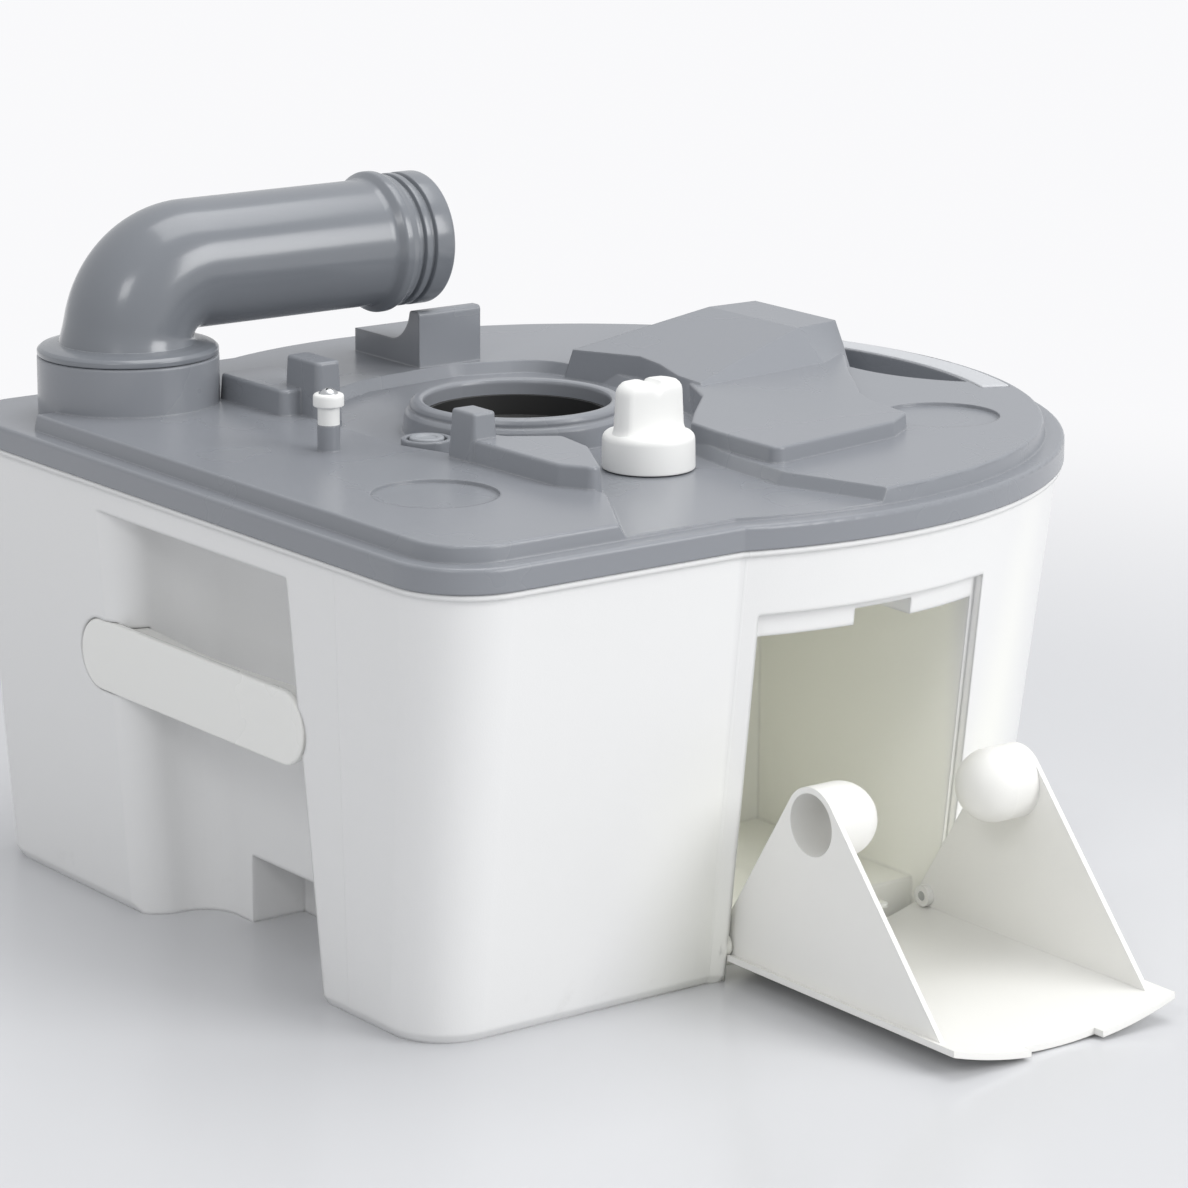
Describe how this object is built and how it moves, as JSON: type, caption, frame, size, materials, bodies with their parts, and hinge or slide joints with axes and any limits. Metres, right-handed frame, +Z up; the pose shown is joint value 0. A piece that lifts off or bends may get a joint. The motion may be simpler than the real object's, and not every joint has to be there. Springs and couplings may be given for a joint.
{
  "type": "portable toilet holding tank",
  "caption": "Holding tank of a portable chemical toilet: hollow white tank, grey stepped cover, swivelling spout, knob-worked slide valve, drop-down paper flap.",
  "frame": {"origin": "on the floor, at the centre of the front arc of the tank's plan", "axes": "+Z up, -Y towards the rounded front, -X towards the paper compartment"},
  "size_m": [0.5203, 0.42, 0.2948],
  "materials": {
    "tank_white": "satin",
    "cover_grey": "satin",
    "pale_grey": "satin",
    "cream_plastic": "satin",
    "flap_white": "satin",
    "knob_white": "satin",
    "blade_black": "satin",
    "black_rubber": "matte",
    "steel": "zinc plated"
  },
  "bodies": {
    "tank": {"tank_body": "tank_white", "cover_gasket": "black_rubber", "top_cover": "cover_grey", "front_grip": "pale_grey", "rear_grip_bar": "cream_plastic", "rear_grip_cover": "cream_plastic", "rear_grip_screws": "steel", "flap_hinge_pins": "steel", "valve_lip_seal": "black_rubber", "seal_clamp_ring": "pale_grey", "clamp_ring_screws": "steel", "latch_stud": "knob_white", "latch_stud_screw": "steel", "vent_spring": "steel", "valve_shaft_seal": "black_rubber"},
    "spout": {"pour_spout": "cover_grey", "spout_ring_seal": "black_rubber", "spout_retaining_ring": "pale_grey"},
    "valve": {"valve_knob": "knob_white", "valve_shaft": "pale_grey", "valve_shaft_screw": "steel", "valve_blade": "blade_black"},
    "flap": {"paper_flap": "flap_white"},
    "vent": {"vent_plunger": "cover_grey", "vent_seal": "black_rubber"}
  },
  "joints": [
    {"name": "spout_swivel", "type": "hinge", "parent": "tank", "child": "spout", "pos_m": [0.1298, 0.1558, 0.2], "axis": [0, 0, 1], "range_deg": [0, 180]},
    {"name": "valve_turn", "type": "hinge", "parent": "tank", "child": "valve", "pos_m": [-0.093, 0.0398, 0.2], "axis": [0, 0, 1], "range_deg": [-85, 0]},
    {"name": "flap_hinge", "type": "hinge", "parent": "tank", "child": "flap", "pos_m": [-0.1683, 0, 0.016], "axis": [0, 1, 0], "range_deg": [0, 83.4]},
    {"name": "vent_press", "type": "slide", "parent": "tank", "child": "vent", "axis": [0, 0, -1], "range_m": [0, 0.0035], "stiffness_N_per_m": 400, "springref_m": -0.002, "deforming": ["vent_spring"]}
  ]
}
